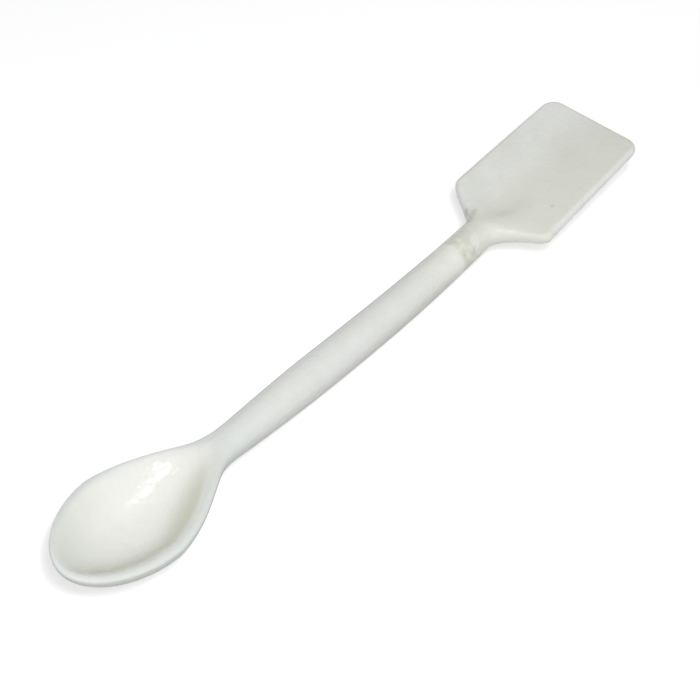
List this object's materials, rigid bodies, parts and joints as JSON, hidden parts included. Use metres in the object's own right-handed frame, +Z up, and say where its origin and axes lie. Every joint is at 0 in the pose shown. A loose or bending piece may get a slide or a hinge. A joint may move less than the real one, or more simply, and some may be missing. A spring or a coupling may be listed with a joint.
{
  "type": "porcelain lab spatula",
  "caption": "White porcelain lab spatula with a teardrop spoon bowl at one end of a round handle and a flat blade at the other, for scooping and spreading powders.",
  "frame": {"origin": "on the table, below the middle of the whole outline", "axes": "+X along the handle from the bowl to the blade, +Z up out of the bowl, +Y to the left when looking along +X"},
  "size_m": [0.15, 0.024, 0.0098],
  "materials": {
    "glaze": "white porcelain under a clear gloss glaze"
  },
  "bodies": {
    "root": {"spoon_spatula": "glaze"}
  },
  "joints": []
}
